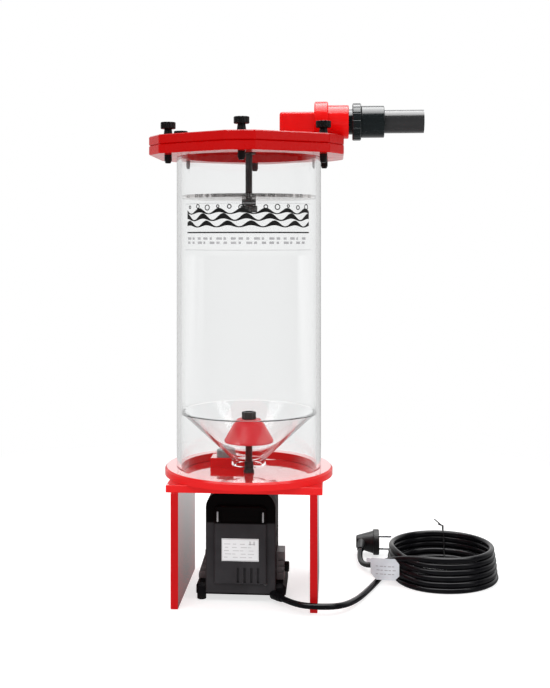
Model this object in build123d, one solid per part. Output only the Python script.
from build123d import *
import os
from math import cos, pi, radians, sin, tan

# Aquarium media reactor on a stand, with its circulation pump and mains lead.
# Millimetres. The origin is on the floor under the tube's axis.
# +Z is up, -Y is the front, +X the outlet side.

# ---------------------------------------------------------------- driving dimensions

# stand
leg_height = 153.5
leg_outer_x = 96.5
sheet = 10.0
sheet_chamfer = 0.8
stand_half_depth = 88.0
plate_half_width = 103.0
plate_top = leg_height + sheet

# reactor tube and base ring
tube_radius = 100.0
tube_wall = 6.0
tube_inner = tube_radius - tube_wall
tube_top = 612.5
ring_radius = 116.0
ring_top = 174.0
glue_gap = 0.1
thread_gap = 0.06
groove_inner = 104.5
groove_outer = 108.5

# lid and flange, hexagons with cut corners
hex_apothem = 131.0
hex_corner = 140.5
flange_bottom = 600.1
lid_bottom = tube_top + 0.2
lid_top = 625.2
corner_angles = [60 * k for k in range(6)]

# thumb screws
screw_circle = 120.0
screw_radius = 4.0
screw_tip = 588.6
screw_neck_top = 634.8
screw_top = 643.7
screw_head_radius = 10.1
screw_neck_radius = 6.25
insert_radius = 5.0
insert_bottom = 591.0
screw_play = 0.5

# outlet line, along +X
outlet_z = 648.5
block_start = 43.5
block_end = 91.0
block_top = 661.0
fitting_step = 110.0
fitting_end = 138.0
collar_start = 143.0
collar_end = 155.0
socket_end = 186.5
pipe_end = 240.5
pipe_radius = 16.0
pipe_free_start = socket_end + 0.5
block_half_depth = 24.0
block_middle = (block_start + block_end) / 2
outlet_port_radius = 13.75
block_bore = 9.0
fitting_large_radius = 28.4
fitting_small_radius = 23.2
collar_radius = 25.7
socket_radius = 22.0
pipe_wall = 2.5
spigot_radius = 15.0
union_thread_radius = 17.4
water_bore = 13.0

# hanger rod and strainer
rod_radius = 5.0
rod_top = 622.0
rod_bottom = 525.0
disc_bottom = 542.3
disc_top = 546.8
disc_radius = 92.5
disc_hole_radius = 2.2
hex_nut_flats = 17.0
rod_knob_radius = 11.8

# funnel and deflector
funnel_rim_z = 250.0
funnel_neck_z = 183.0
funnel_throat = 18.0
funnel_wall = 5.9
cone_bottom = 207.7
cone_shoulder = 231.0
cone_top = 237.5
cone_bottom_radius = 34.0
cone_shoulder_radius = 22.0
cone_top_radius = 16.0

# inlet block on the floor of the tube, over the riser
riser_x = -38.0
riser_y = 44.0
riser_radius = 13.0
riser_bore = 10.5
inlet_top = 176.5
inlet_cap_radius = 12.2

# printed film round the front of the tube
label_bottom = 472.0
label_top = 534.5
label_outer_gap = 0.35
label_middle_angle = -86.5
label_half_angle = 59.0

# pump, motor axis along Y
pump_x = -7.0
motor_z = 62.0
housing_half_width = 47.0
housing_bottom = 12.0
housing_top = 148.0
housing_front = -50.0
housing_back = 22.0
cover_front = -56.0
can_radius = 22.0
volute_back = 60.0
volute_radius = 36.0
base_half_width = 60.5
base_bottom = 10.0
bracket_top = 62.0
knob_reach = 57.5
knob_y = -14.0
knob_z = 38.0

# mains lead
cord_radius = 4.0
coil_centre = (272.3, 79.0)
coil_outer = 80.5
coil_inner = 47.0
coil_height = 48.0
tie_offset = 9.0
run_points = [
    (49, -68, 12), (66, -93, 13), (95, -101.5, 13), (127, -89.5, 10.5), (148, -50, 6),
    (167, 4, 4), (182, 50, 4), (196, 84, 4),
]
lead_points = [
    (206, 36, 36), (189, 62, 24), (172, 88, 11), (159, 113, 6), (156, 136, 10), (158, 154, 15),
]
plug_axis_z = 19.5
plug_y = 181.0
plug_entry_x = 158.0
plug_face_x = 187.0


# ---------------------------------------------------------------- helpers

def cylinder_z(radius, low, high, x=0.0, y=0.0):
    height = high - low
    return Pos(x, y, low) * Cylinder(radius, height, align=(Align.CENTER, Align.CENTER, Align.MIN))


def cylinder_x(radius, low, high, y=0.0, z=0.0):
    length = high - low
    body = Cylinder(radius, length, align=(Align.CENTER, Align.CENTER, Align.MIN))
    return Pos(low, y, z) * Rot(0, 90, 0) * body


def cylinder_y(radius, low, high, x=0.0, z=0.0):
    length = high - low
    body = Cylinder(radius, length, align=(Align.CENTER, Align.CENTER, Align.MIN))
    return Pos(x, low, z) * Rot(-90, 0, 0) * body


def box(low, high):
    size = [b - a for a, b in zip(low, high)]
    return Pos(*low) * Box(*size, align=(Align.MIN, Align.MIN, Align.MIN))


def turned(points):
    """Solid of revolution about Z from (radius, z) points."""
    face = make_face(Polyline(*[(r, 0, z) for r, z in points], close=True))
    return revolve(face, Axis.Z)


def hex_prism(flats, low, high):
    outline = RegularPolygon(flats / 2, 6, major_radius=False)
    return Pos(0, 0, low) * extrude(outline, high - low)


def cut_corner_points():
    """Outline of a hexagon whose corners, one of them at -Y, are cut off square."""
    full_corner = hex_apothem / cos(radians(30))
    half_cut = (full_corner - hex_corner) * tan(radians(60))
    points = []
    for angle in corner_angles:
        a = radians(angle - 90)
        for side in (-1, 1):
            x = hex_corner * cos(a) - side * half_cut * sin(a)
            y = hex_corner * sin(a) + side * half_cut * cos(a)
            points.append((x, y))
    return points


def screw_places():
    """Centres of the six thumb screws, counted from the front towards +X."""
    turns = [radians(a - 90) for a in corner_angles]
    return [(screw_circle * cos(t), screw_circle * sin(t)) for t in turns]


def hex_plate(low, high, edge=1.2):
    outline = make_face(Polyline(*cut_corner_points(), close=True))
    plate = Pos(0, 0, low) * extrude(outline, high - low)
    return chamfer(plate.edges(), edge)


def drilled(plate, low, high, radius):
    for x, y in screw_places():
        plate = plate - cylinder_z(radius, low - 1, high + 1, x, y)
    return plate


def corner_radii(points):
    """Radius of each corner: 0.45 of the shorter run over the tangent of half the turn."""
    radii = []
    for before, here, after in zip(points, points[1:], points[2:]):
        into = Vector(*here) - Vector(*before)
        out = Vector(*after) - Vector(*here)
        turn = radians(into.get_angle(out))
        radii.append(0.45 * min(into.length, out.length) / tan(turn / 2))
    return radii


def cord_tube(name, points):
    """Round cord of straight runs and tangent arcs."""
    radii = corner_radii(points)
    path = FilletPolyline(*points, radius=radii)
    plane = Plane(origin=path @ 0, z_dir=path % 0)
    tube = sweep(plane * Circle(cord_radius), path=path)
    expected = pi * cord_radius ** 2 * path.length
    print(name, "length", round(path.length, 1), "radii", [round(r) for r in radii],
          "volume ratio", round(tube.volume / expected, 4))
    return tube


# ---------------------------------------------------------------- stand

def stand_side(side):
    inner = leg_outer_x - sheet
    low_x, high_x = sorted((side * inner, side * leg_outer_x))
    panel = box((low_x, -stand_half_depth, 0), (high_x, stand_half_depth, leg_height))
    return chamfer(panel.edges(), sheet_chamfer)


def stand_top_plate():
    low = (-plate_half_width, -stand_half_depth, leg_height)
    high = (plate_half_width, stand_half_depth, plate_top)
    plate = chamfer(box(low, high).edges(), sheet_chamfer)
    return plate - cylinder_z(riser_radius + glue_gap, leg_height - 1, plate_top + 1, riser_x, riser_y)


def base_ring():
    return turned([
        (tube_radius + glue_gap, plate_top), (ring_radius, plate_top), (ring_radius, ring_top - 2.5),
        (ring_radius - 2.5, ring_top), (tube_radius + glue_gap, ring_top),
    ])


# ---------------------------------------------------------------- tube, flange and lid

def reactor_tube():
    return cylinder_z(tube_radius, plate_top, tube_top) - cylinder_z(tube_inner, plate_top - 1, tube_top + 1)


def top_flange():
    flange = hex_plate(flange_bottom, tube_top)
    flange -= cylinder_z(tube_radius + glue_gap, flange_bottom - 1, tube_top + 1)
    groove = cylinder_z(groove_outer, tube_top - 3, tube_top + 1)
    groove -= cylinder_z(groove_inner, tube_top - 4, tube_top + 2)
    return drilled(flange - groove, flange_bottom, tube_top, insert_radius + thread_gap)


def lid_seal():
    inner = groove_inner + 0.2
    outer = groove_outer - 0.2
    return turned([
        (inner, tube_top - 3), (outer, tube_top - 3), (outer, tube_top - 0.6),
        ((inner + outer) / 2, tube_top + 0.1), (inner, tube_top - 0.6),
    ])


def flange_inserts():
    """Round threaded inserts pressed through the flange, one under each thumb screw."""
    inserts = []
    for x, y in screw_places():
        insert = cylinder_z(insert_radius, insert_bottom, tube_top - 0.3, x, y)
        insert = chamfer(insert.edges().group_by(Axis.Z)[0], 0.5)
        inserts.append(insert - cylinder_z(screw_radius + thread_gap, insert_bottom - 1, tube_top, x, y))
    return inserts


def thumb_screw(x, y):
    shank = cylinder_z(screw_radius, screw_tip, lid_top + 2, x, y)
    shank = chamfer(shank.edges().group_by(Axis.Z)[0], 0.8)
    neck_height = screw_neck_top - lid_top
    neck = Cone(screw_neck_radius, screw_neck_radius - 1.2, neck_height,
                align=(Align.CENTER, Align.CENTER, Align.MIN))
    neck = Pos(x, y, lid_top + 0.1) * neck
    head = cylinder_z(screw_head_radius, screw_neck_top, screw_top, x, y)
    head = fillet(head.edges(), 1.0)
    for k in range(12):
        a = radians(30 * k + 15)
        flute_x = x + (screw_head_radius + 0.9) * cos(a)
        flute_y = y + (screw_head_radius + 0.9) * sin(a)
        head -= cylinder_z(1.7, screw_neck_top - 1, screw_top + 1, flute_x, flute_y)
    return shank + neck + head


def lid_plate():
    lid = hex_plate(lid_bottom, lid_top)
    lid -= cylinder_z(outlet_port_radius, lid_bottom - 1, lid_top + 1, block_middle)
    lid -= cylinder_z(rod_radius, lid_bottom - 1, rod_top)
    return drilled(lid, lid_bottom, lid_top, screw_radius + screw_play)


# ---------------------------------------------------------------- outlet line

def outlet_block():
    block = box((block_start, -block_half_depth, lid_top), (block_end, block_half_depth, block_top))
    upright = block.edges().filter_by(Axis.Z).group_by(Axis.X)[0]
    along_top = block.edges().group_by(Axis.Z)[-1].filter_by(Axis.X)
    block = fillet(upright + along_top, 5.0)
    block = fillet(block.faces().sort_by(Axis.X)[0].edges().sort_by(Axis.Z)[-1], 4.0)
    block -= cylinder_z(outlet_port_radius - 0.25, lid_top - 1, outlet_z - 4, block_middle)
    return block - cylinder_x(block_bore, block_middle, block_end + 1, 0, outlet_z)


def outlet_fitting():
    large = cylinder_x(fitting_large_radius, block_end, fitting_step, 0, outlet_z)
    large = chamfer(large.edges(), 1.5)
    small = cylinder_x(fitting_small_radius, fitting_step, fitting_end, 0, outlet_z)
    small = fillet(small.edges().group_by(Axis.X)[-1], 1.5)
    fitting = large + small
    fitting -= box((block_end - 1, -30, 600), (fitting_step + 1, 30, lid_top + 0.05))
    fitting -= cylinder_x(block_bore, block_end - 1, block_end + 9, 0, outlet_z)
    fitting -= cylinder_x(water_bore, block_end + 8, fitting_end + 1, 0, outlet_z)
    return fitting - cylinder_x(union_thread_radius, fitting_end - 22, fitting_end + 1, 0, outlet_z)


def union_body():
    body = cylinder_x(union_thread_radius, fitting_end - 22, collar_start + 8, 0, outlet_z)
    body -= cylinder_x(water_bore, fitting_end - 23, collar_start + 9, 0, outlet_z)
    groove = cylinder_x(16.4, collar_start + 6.5, collar_start + 9, 0, outlet_z)
    return body - (groove - cylinder_x(14.4, collar_start + 6, collar_start + 10, 0, outlet_z))


def union_seal():
    ring = cylinder_x(16.3, collar_start + 6.5, collar_start + 8.05, 0, outlet_z)
    return ring - cylinder_x(14.5, collar_start + 6, collar_start + 9, 0, outlet_z)


def union_collar():
    collar = cylinder_x(collar_radius, collar_start, collar_end, 0, outlet_z)
    collar = chamfer(collar.edges(), 1.2)
    collar -= cylinder_x(union_thread_radius + 0.08, collar_start - 1, collar_end - 2.4, 0, outlet_z)
    collar -= cylinder_x(16.6, collar_start, collar_end + 1, 0, outlet_z)
    for k in range(16):
        a = radians(22.5 * k)
        notch_y = (collar_radius + 0.8) * cos(a)
        notch_z = outlet_z + (collar_radius + 0.8) * sin(a)
        collar -= cylinder_x(1.6, collar_start - 1, collar_end + 1, notch_y, notch_z)
    return collar


def outlet_socket():
    tail = cylinder_x(17.3, collar_start + 8.1, collar_end - 2.6, 0, outlet_z)
    tail += cylinder_x(16.5, collar_end - 3, collar_end + 1, 0, outlet_z)
    cup = cylinder_x(socket_radius, collar_end + 0.2, socket_end, 0, outlet_z)
    cup = fillet(cup.edges(), 1.2)
    tail = tail + cup
    tail -= cylinder_x(water_bore, collar_start, socket_end, 0, outlet_z)
    return tail - cylinder_x(spigot_radius + 0.05, collar_end + 9, socket_end + 1, 0, outlet_z)


def outlet_pipe():
    """Pipe whose full diameter starts just off the socket; a turned spigot is glued inside it."""
    spigot = cylinder_x(spigot_radius, collar_end + 9.2, pipe_free_start, 0, outlet_z)
    pipe = spigot + cylinder_x(pipe_radius, pipe_free_start, pipe_end, 0, outlet_z)
    return pipe - cylinder_x(pipe_radius - pipe_wall, collar_end + 8, pipe_end + 1, 0, outlet_z)


# ---------------------------------------------------------------- hanger rod and strainer

def hanger_rod():
    return chamfer(cylinder_z(rod_radius, rod_bottom, rod_top).edges(), 0.8)


def hanger_nuts():
    nuts = []
    for low, high in ((lid_bottom - 8, lid_bottom), (disc_bottom - 8.3, disc_bottom - 0.05)):
        nut = hex_prism(hex_nut_flats, low, high)
        nuts.append(nut - cylinder_z(rod_radius + 0.02, low - 1, high + 1))
    return nuts


def rod_end_knob():
    knob = fillet(cylinder_z(rod_knob_radius, rod_bottom - 1, rod_bottom + 8.4).edges(), 1.2)
    return knob - cylinder_z(rod_radius + 0.02, rod_bottom - 0.01, rod_bottom + 10)


def strainer_disc():
    disc = cylinder_z(disc_radius, disc_bottom, disc_top)
    disc -= cylinder_z(rod_radius + 0.1, disc_bottom - 1, disc_top + 1)
    hole = cylinder_z(disc_hole_radius, disc_bottom - 1, disc_top + 1)
    for ring in range(1, 7):
        disc -= PolarLocations(8 + 12.5 * ring, 6 * ring + 4) * hole
    return disc


# ---------------------------------------------------------------- funnel, deflector and inlet

def funnel():
    rim_inner = tube_inner - 5
    slope = (rim_inner - funnel_throat) / (funnel_rim_z - funnel_neck_z)
    neck_outer = funnel_throat + funnel_wall
    rim_outer = tube_inner - glue_gap
    meet_z = funnel_neck_z + (rim_outer - neck_outer) / slope
    return turned([
        (funnel_throat, funnel_neck_z - 8), (neck_outer, funnel_neck_z - 8), (neck_outer, funnel_neck_z),
        (rim_outer, meet_z), (rim_outer, funnel_rim_z), (rim_inner, funnel_rim_z),
        (funnel_throat, funnel_neck_z),
    ])


def deflector_cone():
    return turned([
        (rod_radius + 0.08, cone_bottom), (cone_bottom_radius, cone_bottom),
        (cone_bottom_radius, cone_bottom + 2.5), (cone_shoulder_radius, cone_shoulder),
        (cone_top_radius, cone_top), (rod_radius + 0.08, cone_top),
    ])


def deflector_nut():
    nut = hex_prism(hex_nut_flats, cone_top, cone_top + 10)
    return nut - cylinder_z(rod_radius + 0.08, cone_top - 1, cone_top + 11)


def deflector_rod():
    return chamfer(cylinder_z(rod_radius, plate_top + 2, cone_top + 9).edges(), 0.8)


def rod_boss():
    boss = turned([(0, plate_top), (7.4, plate_top), (7.4, plate_top + 3), (6.2, plate_top + 5),
                   (6.2, plate_top + 16), (5.6, plate_top + 17), (0, plate_top + 17)])
    return boss - cylinder_z(rod_radius, plate_top + 2, plate_top + 20)


def inlet_block():
    block = box((-58, 29, plate_top), (0, 61, inlet_top))
    block = fillet(block.edges().filter_by(Axis.Z), 2.0)
    block = chamfer(block.edges().group_by(Axis.Z)[-1], 0.8)
    block -= cylinder_z(riser_radius + glue_gap, plate_top - 1, plate_top + 7, riser_x, riser_y)
    return block - box((riser_x, 34, plate_top + 3), (1, 50, plate_top + 9))


def inlet_cap():
    cap = cylinder_z(inlet_cap_radius, inlet_top, inlet_top + 9.5, riser_x, riser_y + 2)
    return fillet(cap.edges().group_by(Axis.Z)[-1], 1.5)


def tube_label():
    band = cylinder_z(tube_radius + label_outer_gap, label_bottom, label_top)
    band -= cylinder_z(tube_radius + 0.02, label_bottom - 1, label_top + 1)
    corners = [(0, 0)]
    for offset, reach in ((-label_half_angle, 140), (0, 280), (label_half_angle, 140)):
        a = radians(label_middle_angle + offset)
        corners.append((reach * cos(a), reach * sin(a)))
    wedge = make_face(Polyline(*corners, close=True))
    return band & (Pos(0, 0, label_bottom - 2) * extrude(wedge, label_top - label_bottom + 4))


# ---------------------------------------------------------------- pump

def arched(half_width, low_z, high_z, low_y, high_y, shoulder):
    """Upright slab with rounded shoulders, centred on the pump."""
    body = box((pump_x - half_width, low_y, low_z), (pump_x + half_width, high_y, high_z))
    return fillet(body.edges().filter_by(Axis.Y).group_by(Axis.Z)[-1], shoulder)


def pump_housing():
    body = arched(housing_half_width, housing_bottom, housing_top, housing_front, housing_back, 22.0)
    body = fillet(body.faces().sort_by(Axis.Y)[-1].edges(), 3.0)
    wall = 4.0
    body -= arched(housing_half_width - wall, housing_bottom + wall, housing_top - wall, housing_front - 1,
                   housing_back - wall, 22.0 - wall)
    body -= cylinder_y(can_radius - 2, housing_back - 6, housing_back + 1, pump_x, motor_z)
    can = cylinder_y(can_radius, -27, housing_back - 2, pump_x, motor_z)
    can -= cylinder_y(can_radius - 2, -25, housing_back, pump_x, motor_z)
    can -= cylinder_y(2.5, -26, housing_back, pump_x, motor_z)
    body = body + can
    for side in (-1, 1):
        for k in range(3):
            z = 40 + 22 * k
            x = pump_x + side * housing_half_width
            body -= box((x - 1.2, -38, z), (x + 1.2, 12, z + 5))
    return body


def pump_front_cover():
    cover = arched(housing_half_width, housing_bottom, housing_top, cover_front + 2, housing_front, 22.0)
    cover = fillet(cover.faces().sort_by(Axis.Y)[0].edges(), 1.8)
    panel = arched(35.0, 26.0, 130.0, cover_front - 3, cover_front + 3, 8.0)
    panel = fillet(panel.faces().sort_by(Axis.Y)[0].edges(), 2.0)
    cover = cover + panel
    cover -= box((pump_x - 27, cover_front - 4, 107), (pump_x + 27, cover_front - 0.5, 124))
    for side in (-1, 1):
        slot_x = pump_x + side * 30.5
        cover -= box((slot_x - 1.4, cover_front - 4, 108), (slot_x + 1.4, cover_front, 123))
    for k in range(4):
        x = pump_x - 3 + 9 * k
        cover -= box((x - 1.6, cover_front - 4, 28), (x + 1.6, cover_front - 0.5, 48))
    return cover


def pump_label():
    return box((pump_x - 24.75, cover_front - 3.5, 57), (pump_x + 24.75, cover_front - 3.02, 87))


def pump_stator():
    core = box((pump_x - 36, -40, 26), (pump_x + 36, 8, 104))
    core -= cylinder_y(can_radius + 0.3, -41, 9, pump_x, motor_z)
    coils = box((pump_x - 22, -44, 104), (pump_x + 22, 12, 136))
    return core + coils


def rotor_shaft():
    return cylinder_y(2.45, -26, volute_back + 2, pump_x, motor_z)


def rotor_magnet():
    magnet = chamfer(cylinder_y(17.5, -22, 18, pump_x, motor_z).edges(), 1.0)
    return magnet - cylinder_y(2.5, -23, 19, pump_x, motor_z)


def impeller():
    hub = cylinder_y(17.0, 18, 21, pump_x, motor_z) + cylinder_y(9.0, 20, 30, pump_x, motor_z)
    wheel = hub + cylinder_y(25.0, 29, 31.5, pump_x, motor_z) + cylinder_y(6.5, 31, 50, pump_x, motor_z)
    blade = box((5.5, 31, -1.1), (24.5, 48, 1.1))
    for k in range(7):
        wheel += Pos(pump_x, 0, motor_z) * Rot(0, 360 / 7 * k, 0) * blade
    return wheel - cylinder_y(2.5, 17, 51, pump_x, motor_z)


def pump_volute():
    flange = box((pump_x - 40, housing_back + 0.1, motor_z - 42),
                 (pump_x + 40, housing_back + 4, motor_z + 35))
    flange = fillet(flange.edges().filter_by(Axis.Y), 10.0)
    case = flange + cylinder_y(volute_radius, housing_back + 2, volute_back, pump_x, motor_z)
    case += cylinder_z(16.0, motor_z, 112, riser_x, riser_y)
    case -= cylinder_y(29.5, housing_back + 6, volute_back + 1, pump_x, motor_z)
    case -= cylinder_y(19.0, housing_back - 1, housing_back + 8, pump_x, motor_z)
    case -= cylinder_z(riser_bore, motor_z + 4, 113, riser_x, riser_y)
    for x, z in volute_screw_places():
        case -= cylinder_y(1.6, volute_back - 8, volute_back + 1, x, z)
    return case


def volute_screw_places():
    reach = 33.0
    angles = [45 + 90 * k for k in range(4)]
    return [(pump_x + reach * cos(radians(a)), motor_z + reach * sin(radians(a))) for a in angles]


def volute_seal():
    ring = cylinder_y(31.2, volute_back, volute_back + 0.8, pump_x, motor_z)
    return ring - cylinder_y(29.6, volute_back - 1, volute_back + 2, pump_x, motor_z)


def volute_cover():
    low = volute_back + 0.8
    cover = cylinder_y(volute_radius, low, low + 4.5, pump_x, motor_z)
    cover = fillet(cover.edges().group_by(Axis.Y)[-1], 1.0)
    cover += cylinder_y(15.0, low, low + 12, pump_x, motor_z)
    cover -= cylinder_y(12.0, low - 1, low + 13, pump_x, motor_z)
    cover += box((pump_x - 13, low, motor_z - 2), (pump_x + 13, low + 3, motor_z + 2))
    cover += cylinder_y(4.5, low, low + 4, pump_x, motor_z)
    cover -= cylinder_y(2.5, low - 1, volute_back + 2, pump_x, motor_z)
    for x, z in volute_screw_places():
        cover -= cylinder_y(1.7, low - 1, low + 6, x, z)
    return cover


def volute_screws():
    screws = []
    for x, z in volute_screw_places():
        head = cylinder_y(2.9, volute_back + 5.3, volute_back + 7.5, x, z)
        head -= box((x - 3.5, volute_back + 6.6, z - 0.5), (x + 3.5, volute_back + 8, z + 0.5))
        screws.append(head + cylinder_y(1.55, volute_back - 7, volute_back + 5.4, x, z))
    return screws


def intake_strainer():
    low = volute_back + 5.4
    basket = cylinder_y(20.0, low, low + 20, pump_x, motor_z)
    basket = fillet(basket.edges().group_by(Axis.Y)[-1], 3.0)
    basket -= cylinder_y(17.5, low + 2.5, low + 17.5, pump_x, motor_z)
    basket -= cylinder_y(15.1, low - 1, low + 4, pump_x, motor_z)
    for k in range(10):
        slot = box((12, low + 5, -1.7), (22, low + 16, 1.7))
        basket -= Pos(pump_x, 0, motor_z) * Rot(0, 36 * k, 0) * slot
    for k in range(-2, 3):
        half_slot = (13.5, 12, 8)[abs(k)]
        z = motor_z + 5 * k
        basket -= box((pump_x - half_slot, low + 16, z - 1), (pump_x + half_slot, low + 21, z + 1))
    return basket


def pump_base():
    skirt = box((pump_x - base_half_width, -52, base_bottom),
                (pump_x + base_half_width, 32, base_bottom + 14))
    skirt = fillet(skirt.edges().filter_by(Axis.Z), 5.0)
    skirt = chamfer(skirt.edges().group_by(Axis.Z)[-1], 4.0)
    pocket = box((pump_x - housing_half_width - 0.2, cover_front, housing_bottom - 0.1),
                 (pump_x + housing_half_width + 0.2, housing_back + 0.05, base_bottom + 20))
    volute_room = box((pump_x - 41, housing_back, base_bottom + 6), (pump_x + 41, 33, base_bottom + 20))
    return skirt - pocket - volute_room


def pump_feet():
    feet = []
    for x in (pump_x - 54, pump_x + 52):
        for y in (-40, 24):
            feet.append(chamfer(cylinder_z(6.2, 0, base_bottom, x, y).edges(), 0.6))
    return feet


def side_bracket(side, foot_reach, head_reach):
    """Support between the base and the housing's side, ribbed on its front."""
    inner = pump_x + side * (housing_half_width + 0.1)
    foot = pump_x + side * foot_reach
    head = pump_x + side * head_reach
    outline = make_face(Polyline((inner, 0, base_bottom + 14), (foot, 0, base_bottom + 14), (foot, 0, 30),
                                 (head, 0, bracket_top - 4), (head, 0, bracket_top), (inner, 0, bracket_top),
                                 close=True))
    block = Pos(0, knob_y, 0) * extrude(outline, amount=15, both=True)
    for k in range(3):
        z = 34 + 8 * k
        low_x, high_x = sorted((inner + side * 2, foot))
        block -= box((low_x, knob_y - 16, z), (high_x, knob_y - 13.2, z + 3))
    return block


def side_brackets():
    """The left one slopes like a buttress, the right one is upright and carries the knob."""
    left = side_bracket(-1, base_half_width - 1, housing_half_width + 3.5)
    right = side_bracket(1, knob_reach, knob_reach)
    return [left, right]


def side_knob():
    start = pump_x + knob_reach + 0.15
    knob = chamfer(cylinder_x(7.0, start, start + 6, knob_y, knob_z).edges(), 0.8)
    for k in range(10):
        a = radians(36 * k)
        knob -= cylinder_x(1.0, start - 1, start + 7, knob_y + 7.3 * cos(a), knob_z + 7.3 * sin(a))
    return knob


def riser_pipe():
    pipe = cylinder_z(riser_radius, 112.2, plate_top + 6.5, riser_x, riser_y)
    pipe += cylinder_z(15.9, 112.2, 115.0, riser_x, riser_y)
    return pipe - cylinder_z(riser_bore, 111, plate_top + 8, riser_x, riser_y)


def riser_union_nut():
    nut = Pos(riser_x, riser_y, 100) * extrude(RegularPolygon(19.5, 8, major_radius=False), 18)
    nut = chamfer(nut.edges().group_by(Axis.Z)[-1], 1.5)
    nut -= cylinder_z(16.08, 99, 115.3, riser_x, riser_y)
    return nut - cylinder_z(riser_radius + 0.2, 99, 119, riser_x, riser_y)


# ---------------------------------------------------------------- mains lead

def along(start, direction, body):
    """Place a body that was made along +Z from the origin."""
    return Plane(origin=start, z_dir=direction) * body


def cord_gland():
    exit_point = Vector(*run_points[0])
    direction = (Vector(*run_points[1]) - exit_point).normalized()
    start = exit_point - direction * 20.5
    sleeve = Cone(6.6, 5.2, 20.5, align=(Align.CENTER, Align.CENTER, Align.MIN))
    for k in range(3):
        z = 9 + 3.6 * k
        ring = Pos(0, 0, z) * (Cylinder(8, 1.4) - Cylinder(4.9, 2))
        sleeve -= ring
    return along(start, direction, sleeve)


def cord_run():
    return cord_tube("cord_run", run_points)


def cord_lead():
    return cord_tube("cord_lead", lead_points)


def cord_coil():
    """Heap of turns as one ring, four turns wide at the floor and one wide at the top."""
    section = [
        (coil_inner, 0.5), (coil_inner + 1.5, 0), (coil_outer - 2, 0), (coil_outer, 2), (coil_outer, 10),
        (coil_outer - 5, coil_height - 2), (coil_outer - 7, coil_height), (coil_outer - 12, coil_height),
        (coil_outer - 14, coil_height - 2), (coil_outer - 20, 27), (coil_inner, 10),
    ]
    return Pos(*coil_centre, 0) * turned(section)


def cord_plug():
    disc = fillet(cylinder_x(19.3, plug_face_x - 9, plug_face_x, plug_y, plug_axis_z).edges(), 1.5)
    grip = loft([
        Plane(origin=(plug_face_x - 8.5, plug_y, plug_axis_z), z_dir=(-1, 0, 0)) * Circle(17.0),
        Plane(origin=(plug_entry_x - 6, plug_y, plug_axis_z), z_dir=(-1, 0, 0)) * Circle(9.5),
    ])
    body = disc + fillet(grip.edges().group_by(Axis.X)[0], 3.0)
    exit_point = Vector(*lead_points[-1])
    direction = (exit_point - Vector(*lead_points[-2])).normalized()
    sleeve = Cone(5.0, 7.2, 26, align=(Align.CENTER, Align.CENTER, Align.MIN))
    return body + along(exit_point, direction, sleeve)


def plug_pins():
    pins = []
    for offset in (-9.5, 9.5):
        pin = cylinder_x(2.4, plug_face_x, plug_face_x + 19, plug_y, plug_axis_z + offset)
        pins.append(fillet(pin.edges().group_by(Axis.X)[-1], 1.8))
    return pins


def cord_tag():
    plate = Box(40, 0.9, 27.5, align=(Align.CENTER, Align.CENTER, Align.MIN))
    plate = fillet(plate.edges().filter_by(Axis.Y), 3.0)
    return Pos(189, 28.5, 9.6) * Rot(0, 0, -8) * plate


def cord_tie():
    """Flat tie round the coil's bundle at the back, with two ends standing up."""
    x, y = coil_centre
    x += tie_offset
    low_y = y + coil_inner - 2.2
    high_y = y + coil_outer + 0.8
    loop = box((x - 1.5, low_y, 0.3), (x + 1.5, high_y, coil_height + 1.2))
    loop -= box((x - 2, low_y + 1.0, 1.3), (x + 2, high_y - 1.0, coil_height + 0.2))
    middle = (low_y + high_y) / 2
    for side in (-1, 1):
        end = Pos(x, middle + side * 0.9, coil_height + 0.6) * Rot(side * -14, side * 12, 0) * Box(
            3.0, 1.0, 17, align=(Align.CENTER, Align.CENTER, Align.MIN))
        loop += end
    return loop


# ---------------------------------------------------------------- write one STEP for each node

def save(node, shape):
    solids = shape if isinstance(shape, list) else [shape]
    body = Compound(children=solids) if len(solids) > 1 else solids[0]
    export_step(body, os.path.join("parts", node + ".step"))


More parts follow.
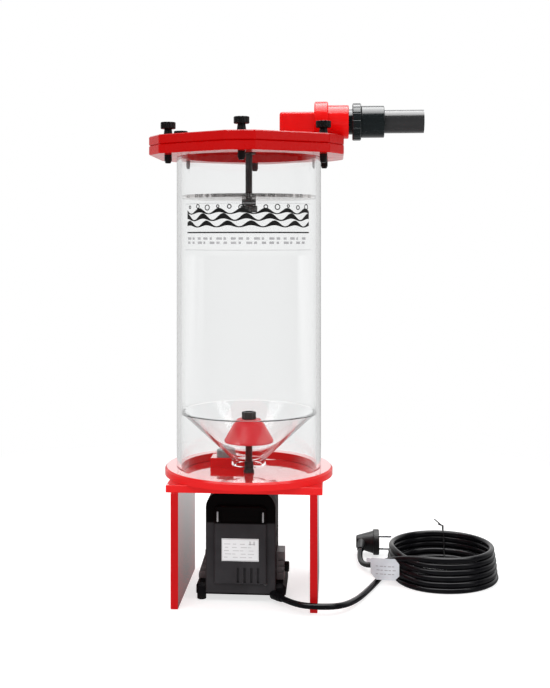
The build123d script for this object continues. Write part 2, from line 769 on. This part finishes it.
os.makedirs("parts", exist_ok=True)

nodes = {
    "stand_side_left": stand_side(-1),
    "stand_side_right": stand_side(1),
    "stand_top_plate": stand_top_plate(),
    "base_ring": base_ring(),
    "reactor_tube": reactor_tube(),
    "top_flange": top_flange(),
    "lid_seal": lid_seal(),
    "flange_inserts": flange_inserts(),
    "lid_plate": lid_plate(),
    "outlet_block": outlet_block(),
    "outlet_fitting": outlet_fitting(),
    "union_body": union_body(),
    "union_seal": union_seal(),
    "union_collar": union_collar(),
    "outlet_socket": outlet_socket(),
    "outlet_pipe": outlet_pipe(),
    "hanger_rod": hanger_rod(),
    "hanger_nuts": hanger_nuts(),
    "rod_end_knob": rod_end_knob(),
    "strainer_disc": strainer_disc(),
    "funnel": funnel(),
    "deflector_cone": deflector_cone(),
    "deflector_nut": deflector_nut(),
    "deflector_rod": deflector_rod(),
    "rod_boss": rod_boss(),
    "inlet_block": inlet_block(),
    "inlet_cap": inlet_cap(),
    "tube_label": tube_label(),
    "pump_housing": pump_housing(),
    "pump_front_cover": pump_front_cover(),
    "pump_label": pump_label(),
    "pump_stator": pump_stator(),
    "rotor_shaft": rotor_shaft(),
    "rotor_magnet": rotor_magnet(),
    "impeller": impeller(),
    "pump_volute": pump_volute(),
    "volute_seal": volute_seal(),
    "volute_cover": volute_cover(),
    "volute_screws": volute_screws(),
    "intake_strainer": intake_strainer(),
    "pump_base": pump_base(),
    "pump_feet": pump_feet(),
    "side_brackets": side_brackets(),
    "side_knob": side_knob(),
    "riser_pipe": riser_pipe(),
    "riser_union_nut": riser_union_nut(),
    "cord_gland": cord_gland(),
    "cord_run": cord_run(),
    "cord_coil": cord_coil(),
    "cord_lead": cord_lead(),
    "cord_plug": cord_plug(),
    "plug_pins": plug_pins(),
    "cord_tag": cord_tag(),
    "cord_tie": cord_tie(),
}
for number, (x, y) in enumerate(screw_places(), start=1):
    nodes["thumb_screw_" + str(number)] = thumb_screw(x, y)

for node, shape in nodes.items():
    save(node, shape)
